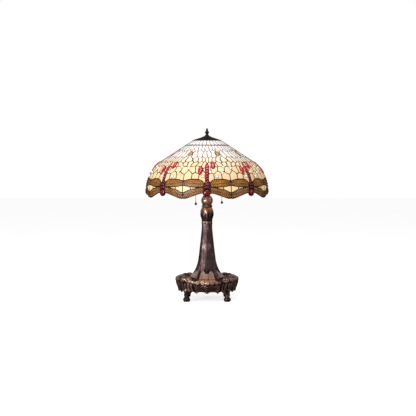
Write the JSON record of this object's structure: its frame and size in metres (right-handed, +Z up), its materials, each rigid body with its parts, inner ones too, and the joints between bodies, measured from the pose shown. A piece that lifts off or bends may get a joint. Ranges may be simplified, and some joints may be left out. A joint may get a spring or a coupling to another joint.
{
  "type": "stained glass table lamp",
  "caption": "Table lamp with a leaded dragonfly glass shade on a fluted, footed cast bronze base, lit by pull-chain bulbs inside.",
  "frame": {"origin": "on the floor under the middle of the base", "axes": "+Z up along the column, front with one dragonfly towards -Y, +X to the right seen from the front"},
  "size_m": [0.5678, 0.5678, 0.787],
  "materials": {
    "felt": "matt felt",
    "bronze": "cast bronze with a dark red-brown patina, rubbed bright on the high relief",
    "dark_bronze": "cast bronze with a near-black patina",
    "pull_ball": "dark bronze balls",
    "steel": "zinc plated, dull",
    "bushing": "black moulded insulating bushing",
    "brass": "aged brass",
    "liner": "rolled thread, bright",
    "porcelain": "unglazed porcelain",
    "bulb_cap": "rolled thread, bright",
    "bulb_glass": "soft white lit envelope",
    "opal_glass": "near-white streaky opalescent sheet glass, lit from inside",
    "cream_glass": "cream to straw streaky opalescent sheet glass, lit from inside",
    "wing_glass": "mottled amber-brown sheet glass, lit from inside",
    "ruby_glass": "deep ruby glass",
    "opal_jewel": "pressed opal cabochons",
    "amber_jewel": "pressed amber cabochons",
    "solder": "solder lines and pierced overlay with a brown patina"
  },
  "bodies": {
    "stand": {"floor_pads": "felt", "feet": "bronze", "foot_screws": "steel", "legs": "bronze", "base_casting": "bronze", "cord_bushing": "bushing", "clamp_washer": "steel", "base_nut": "steel", "tie_rod": "steel", "column_shaft": "bronze", "column_urn": "bronze", "column_collar": "bronze", "column_ball": "bronze", "neck_nut": "brass", "cluster_body": "brass", "cluster_cover": "brass", "socket_arms": "brass", "socket_shell_1": "brass", "socket_shell_2": "brass", "socket_shell_3": "brass", "socket_liner_1": "liner", "socket_liner_2": "liner", "socket_liner_3": "liner", "socket_core_1": "porcelain", "socket_core_2": "porcelain", "socket_core_3": "porcelain", "riser_rod": "steel", "spider_nut": "steel"},
    "bulb_1": {"bulb_cap_1": "bulb_cap", "bulb_glass_1": "bulb_glass"},
    "bulb_2": {"bulb_cap_2": "bulb_cap", "bulb_glass_2": "bulb_glass"},
    "bulb_3": {"bulb_cap_3": "bulb_cap", "bulb_glass_3": "bulb_glass"},
    "chain_1": {"pull_chain_1": "brass", "pull_ball_1": "pull_ball"},
    "chain_2": {"pull_chain_2": "brass", "pull_ball_2": "pull_ball"},
    "chain_3": {"pull_chain_3": "brass", "pull_ball_3": "pull_ball"},
    "spider": {"shade_spider": "brass"},
    "shade": {"crown_ring": "brass", "came_ring": "brass", "glass_crown_band": "opal_glass", "glass_upper_rays": "opal_glass", "glass_middle_row": "cream_glass", "glass_arches": "cream_glass", "glass_upper_wings": "wing_glass", "glass_lower_wings": "wing_glass", "glass_gap_panes": "cream_glass", "dragonfly_bodies": "ruby_glass", "dragonfly_heads": "ruby_glass", "ruby_jewels": "ruby_glass", "opal_jewels": "opal_jewel", "amber_jewels": "amber_jewel", "came_upper": "solder", "came_lower": "solder", "wing_filigree": "solder"},
    "cap": {"heat_cap": "dark_bronze"},
    "finial": {"finial": "dark_bronze"}
  },
  "joints": [
    {"name": "shade_swivel", "type": "hinge", "parent": "stand", "child": "spider", "pos_m": [0, 0, 0.716], "axis": [0, 0, 1], "continuous": true},
    {"name": "shade_lift", "type": "slide", "parent": "spider", "child": "shade", "axis": [0, 0, 1], "range_m": [0, 0.3]},
    {"name": "cap_lift", "type": "slide", "parent": "shade", "child": "cap", "axis": [0, 0, 1], "range_m": [0, 0.1]},
    {"name": "finial_unscrew", "type": "hinge", "parent": "cap", "child": "finial", "pos_m": [0, 0, 0.76], "axis": [0, 0, 1], "range_deg": [0, 4320]},
    {"name": "bulb_1_unscrew", "type": "hinge", "parent": "stand", "child": "bulb_1", "pos_m": [0, 0, 0.492], "axis": [0.8325, -0.2387, 0.5], "range_deg": [0, 1800]},
    {"name": "bulb_2_unscrew", "type": "hinge", "parent": "stand", "child": "bulb_2", "pos_m": [0, 0, 0.492], "axis": [-0.623, -0.6016, 0.5], "range_deg": [0, 1800]},
    {"name": "bulb_3_unscrew", "type": "hinge", "parent": "stand", "child": "bulb_3", "pos_m": [0, 0, 0.492], "axis": [-0.2095, 0.8403, 0.5], "range_deg": [0, 1800]},
    {"name": "chain_1_pull", "type": "slide", "parent": "stand", "child": "chain_1", "axis": [0, 0, -1], "range_m": [0, 0.01], "stiffness_N_per_m": 200, "springref_m": -0.005},
    {"name": "chain_2_pull", "type": "slide", "parent": "stand", "child": "chain_2", "axis": [0, 0, -1], "range_m": [0, 0.01], "stiffness_N_per_m": 200, "springref_m": -0.005},
    {"name": "chain_3_pull", "type": "slide", "parent": "stand", "child": "chain_3", "axis": [0, 0, -1], "range_m": [0, 0.01], "stiffness_N_per_m": 200, "springref_m": -0.005}
  ]
}
